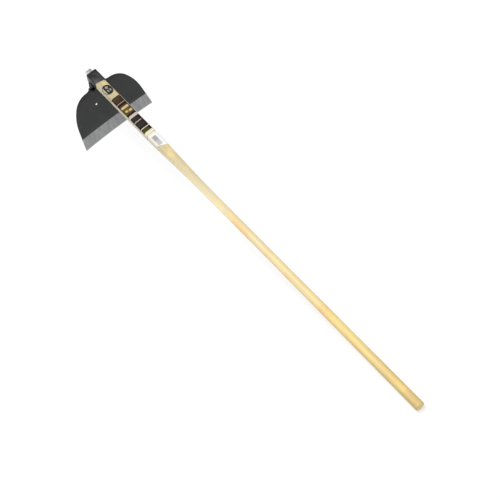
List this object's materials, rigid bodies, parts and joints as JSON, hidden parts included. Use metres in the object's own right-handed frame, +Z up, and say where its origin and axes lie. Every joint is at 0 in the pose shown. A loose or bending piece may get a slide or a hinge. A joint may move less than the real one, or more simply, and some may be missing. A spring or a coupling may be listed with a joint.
{
  "type": "draw hoe",
  "caption": "Long-handled draw hoe: a dished half-moon steel blade on a short saddle neck and box socket, wedged on a pale wooden handle.",
  "frame": {"origin": "centre of the footprint on the ground, with the hoe lying on its cutting edge and the rim of its butt", "axes": "+Z up, +Y along the tool from the butt towards the head, +X to the right of the person holding it"},
  "size_m": [0.24, 1.3824, 0.1919],
  "materials": {
    "handle_wood": "pale oiled hardwood",
    "wedge_steel": "bright cut",
    "black_paint": "semi-matt black",
    "nail_steel": "dull",
    "edge_steel": "ground across the edge",
    "weld_paint": "painted over",
    "seal_paper": "printed paper",
    "label_paper": "printed paper",
    "sticker_paper": "printed paper"
  },
  "bodies": {
    "root": {"handle": "handle_wood", "handle_wedge": "wedge_steel", "socket": "black_paint", "socket_nail": "nail_steel", "blade_plate": "black_paint", "cutting_edge": "edge_steel", "neck": "black_paint", "weld_lip_left": "weld_paint", "weld_lip_right": "weld_paint", "weld_under_socket": "weld_paint", "weld_root_joint": "weld_paint", "seal_sticker": "seal_paper", "name_label": "label_paper", "price_sticker": "sticker_paper"}
  },
  "joints": []
}
